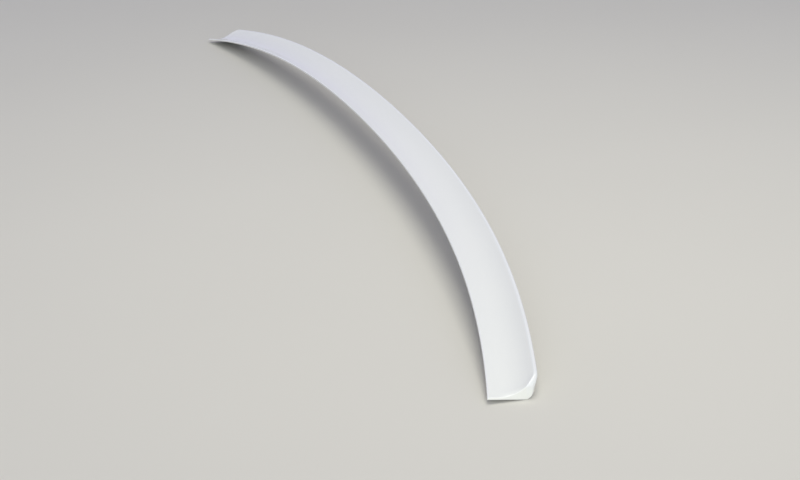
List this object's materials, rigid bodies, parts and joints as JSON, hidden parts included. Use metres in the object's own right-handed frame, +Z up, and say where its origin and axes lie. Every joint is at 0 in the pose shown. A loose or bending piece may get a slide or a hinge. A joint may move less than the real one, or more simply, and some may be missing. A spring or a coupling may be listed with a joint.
{
  "type": "rear window spoiler lip",
  "caption": "Slim bowed strip, bonded along the top edge of a car's rear window, with a flat flange in front and a kicked-up tail behind that sheds the air off the roof.",
  "frame": {"origin": "foot of the leading edge on the car's centre plane, where the strip meets the glass", "axes": "+X across the car towards the right, along the strip; +Y forward; +Z up, as the strip sits on the car"},
  "size_m": [1.0346, 0.0982, 0.0445],
  "materials": {
    "gloss_white_paint": "moulded plastic in white body colour under gloss clear coat"
  },
  "bodies": {
    "root": {"spoiler_lip": "gloss_white_paint"}
  },
  "joints": []
}
